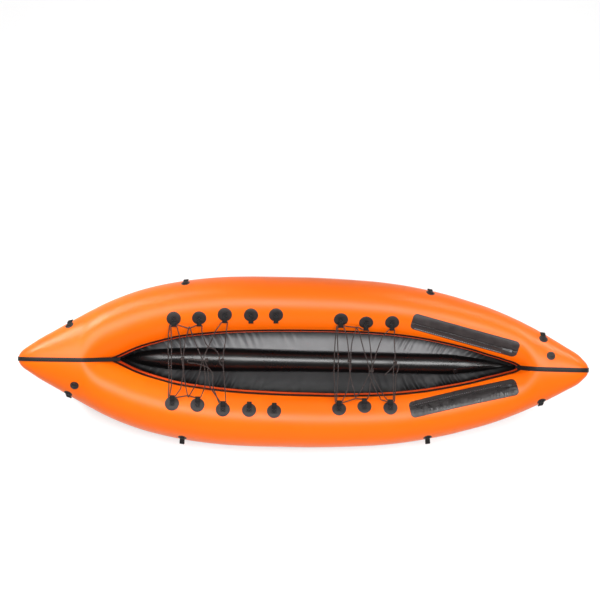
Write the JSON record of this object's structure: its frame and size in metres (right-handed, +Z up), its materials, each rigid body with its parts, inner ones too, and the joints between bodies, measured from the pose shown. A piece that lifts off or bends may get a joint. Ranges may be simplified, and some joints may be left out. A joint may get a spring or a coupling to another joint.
{
  "type": "inflatable packraft",
  "caption": "Inflatable double-ended packraft with paired side tubes, floor tube, laced cockpit cords, tie-down loops, screw-capped valves and cargo zips in the stern.",
  "frame": {"origin": "on the ground under the middle of the boat", "axes": "+X aft along the boat, +Y to its port side, +Z up from the ground it rests on"},
  "size_m": [2.9336, 0.9, 0.3881],
  "materials": {
    "cargo_zip_port": "black-grey coated patch, glossy",
    "cargo_zip_starboard": "black-grey coated patch, glossy",
    "floor_sheet": "black coated fabric, satin",
    "floor_tube": "black coated fabric, glossy",
    "floor_valve": "black moulded plastic, satin",
    "lacing_cord_aft": "dark braided cord",
    "lacing_cord_fore": "dark braided cord",
    "lacing_loop_port_1": "black webbing, woven",
    "lacing_loop_port_2": "black webbing, woven",
    "lacing_loop_port_3": "black webbing, woven",
    "lacing_loop_port_4": "black webbing, woven",
    "lacing_loop_port_5": "black webbing, woven",
    "lacing_loop_port_6": "black webbing, woven",
    "lacing_loop_port_7": "black webbing, woven",
    "lacing_loop_port_8": "black webbing, woven",
    "lacing_loop_starboard_1": "black webbing, woven",
    "lacing_loop_starboard_2": "black webbing, woven",
    "lacing_loop_starboard_3": "black webbing, woven",
    "lacing_loop_starboard_4": "black webbing, woven",
    "lacing_loop_starboard_5": "black webbing, woven",
    "lacing_loop_starboard_6": "black webbing, woven",
    "lacing_loop_starboard_7": "black webbing, woven",
    "lacing_loop_starboard_8": "black webbing, woven",
    "lacing_patch_port_1": "black-grey coated patch, satin",
    "lacing_patch_port_2": "black-grey coated patch, satin",
    "lacing_patch_port_3": "black-grey coated patch, satin",
    "lacing_patch_port_4": "black-grey coated patch, satin",
    "lacing_patch_port_5": "black-grey coated patch, satin",
    "lacing_patch_port_6": "black-grey coated patch, satin",
    "lacing_patch_port_7": "black-grey coated patch, satin",
    "lacing_patch_port_8": "black-grey coated patch, satin",
    "lacing_patch_starboard_1": "black-grey coated patch, satin",
    "lacing_patch_starboard_2": "black-grey coated patch, satin",
    "lacing_patch_starboard_3": "black-grey coated patch, satin",
    "lacing_patch_starboard_4": "black-grey coated patch, satin",
    "lacing_patch_starboard_5": "black-grey coated patch, satin",
    "lacing_patch_starboard_6": "black-grey coated patch, satin",
    "lacing_patch_starboard_7": "black-grey coated patch, satin",
    "lacing_patch_starboard_8": "black-grey coated patch, satin",
    "rim_tape": "black tape, satin",
    "seam_tape_bow": "black tape, satin",
    "seam_tape_stern": "black tape, satin",
    "side_tube_port": "orange coated fabric, satin",
    "side_tube_starboard": "orange coated fabric, satin",
    "tie_down_port_aft": "black patch and webbing, woven",
    "tie_down_port_bow": "black patch and webbing, woven",
    "tie_down_port_fore": "black patch and webbing, woven",
    "tie_down_port_stern": "black patch and webbing, woven",
    "tie_down_starboard_aft": "black patch and webbing, woven",
    "tie_down_starboard_bow": "black patch and webbing, woven",
    "tie_down_starboard_fore": "black patch and webbing, woven",
    "tie_down_starboard_stern": "black patch and webbing, woven",
    "valve_body_port": "black moulded plastic, satin",
    "valve_body_starboard": "black moulded plastic, satin",
    "valve_cap_port": "black moulded plastic, satin",
    "valve_cap_starboard": "black moulded plastic, satin",
    "zip_pull_port": "black moulded plastic, satin",
    "zip_pull_starboard": "black moulded plastic, satin",
    "zip_slider_port": "dark metal, satin",
    "zip_slider_starboard": "dark metal, satin"
  },
  "bodies": {
    "hull": {"cargo_zip_port": "cargo_zip_port", "cargo_zip_starboard": "cargo_zip_starboard", "floor_sheet": "floor_sheet", "floor_tube": "floor_tube", "floor_valve": "floor_valve", "lacing_cord_aft": "lacing_cord_aft", "lacing_cord_fore": "lacing_cord_fore", "lacing_loop_port_1": "lacing_loop_port_1", "lacing_loop_port_2": "lacing_loop_port_2", "lacing_loop_port_3": "lacing_loop_port_3", "lacing_loop_port_4": "lacing_loop_port_4", "lacing_loop_port_5": "lacing_loop_port_5", "lacing_loop_port_6": "lacing_loop_port_6", "lacing_loop_port_7": "lacing_loop_port_7", "lacing_loop_port_8": "lacing_loop_port_8", "lacing_loop_starboard_1": "lacing_loop_starboard_1", "lacing_loop_starboard_2": "lacing_loop_starboard_2", "lacing_loop_starboard_3": "lacing_loop_starboard_3", "lacing_loop_starboard_4": "lacing_loop_starboard_4", "lacing_loop_starboard_5": "lacing_loop_starboard_5", "lacing_loop_starboard_6": "lacing_loop_starboard_6", "lacing_loop_starboard_7": "lacing_loop_starboard_7", "lacing_loop_starboard_8": "lacing_loop_starboard_8", "lacing_patch_port_1": "lacing_patch_port_1", "lacing_patch_port_2": "lacing_patch_port_2", "lacing_patch_port_3": "lacing_patch_port_3", "lacing_patch_port_4": "lacing_patch_port_4", "lacing_patch_port_5": "lacing_patch_port_5", "lacing_patch_port_6": "lacing_patch_port_6", "lacing_patch_port_7": "lacing_patch_port_7", "lacing_patch_port_8": "lacing_patch_port_8", "lacing_patch_starboard_1": "lacing_patch_starboard_1", "lacing_patch_starboard_2": "lacing_patch_starboard_2", "lacing_patch_starboard_3": "lacing_patch_starboard_3", "lacing_patch_starboard_4": "lacing_patch_starboard_4", "lacing_patch_starboard_5": "lacing_patch_starboard_5", "lacing_patch_starboard_6": "lacing_patch_starboard_6", "lacing_patch_starboard_7": "lacing_patch_starboard_7", "lacing_patch_starboard_8": "lacing_patch_starboard_8", "rim_tape": "rim_tape", "seam_tape_bow": "seam_tape_bow", "seam_tape_stern": "seam_tape_stern", "side_tube_port": "side_tube_port", "side_tube_starboard": "side_tube_starboard", "tie_down_port_aft": "tie_down_port_aft", "tie_down_port_bow": "tie_down_port_bow", "tie_down_port_fore": "tie_down_port_fore", "tie_down_port_stern": "tie_down_port_stern", "tie_down_starboard_aft": "tie_down_starboard_aft", "tie_down_starboard_bow": "tie_down_starboard_bow", "tie_down_starboard_fore": "tie_down_starboard_fore", "tie_down_starboard_stern": "tie_down_starboard_stern", "valve_body_port": "valve_body_port", "valve_body_starboard": "valve_body_starboard"},
    "valve_cap_port": {"valve_cap_port": "valve_cap_port"},
    "valve_cap_starboard": {"valve_cap_starboard": "valve_cap_starboard"},
    "zip_slider_port": {"zip_slider_port": "zip_slider_port"},
    "zip_pull_port": {"zip_pull_port": "zip_pull_port"},
    "zip_slider_starboard": {"zip_slider_starboard": "zip_slider_starboard"},
    "zip_pull_starboard": {"zip_pull_starboard": "zip_pull_starboard"}
  },
  "joints": [
    {"name": "valve_cap_port_turn", "type": "hinge", "parent": "hull", "child": "valve_cap_port", "pos_m": [1.26697, 0.07196, 0.3341], "axis": [-0.0467, 0.2654, 0.963], "range_deg": [0, 360]},
    {"name": "valve_cap_starboard_turn", "type": "hinge", "parent": "hull", "child": "valve_cap_starboard", "pos_m": [-1.17428, -0.13536, 0.35218], "axis": [-0.0093, -0.4294, 0.9031], "range_deg": [0, 360]},
    {"name": "zip_slider_port_run", "type": "hinge", "parent": "hull", "child": "zip_slider_port", "pos_m": [0.7277, 0.1749, 1.62093], "axis": [0.2474, 0.9689, 0], "range_deg": [0, 20.35]},
    {"name": "zip_pull_port_hinge", "type": "hinge", "parent": "zip_slider_port", "child": "zip_pull_port", "pos_m": [1.06187, 0.08955, 0.29091], "axis": [0.2474, 0.9689, 0], "range_deg": [0, 150]},
    {"name": "zip_slider_starboard_run", "type": "hinge", "parent": "hull", "child": "zip_slider_starboard", "pos_m": [0.7277, -0.1749, 1.62093], "axis": [-0.2474, 0.9689, 0], "range_deg": [0, 20.35]},
    {"name": "zip_pull_starboard_hinge", "type": "hinge", "parent": "zip_slider_starboard", "child": "zip_pull_starboard", "pos_m": [1.06187, -0.08955, 0.29091], "axis": [-0.2474, 0.9689, 0], "range_deg": [0, 150]}
  ]
}
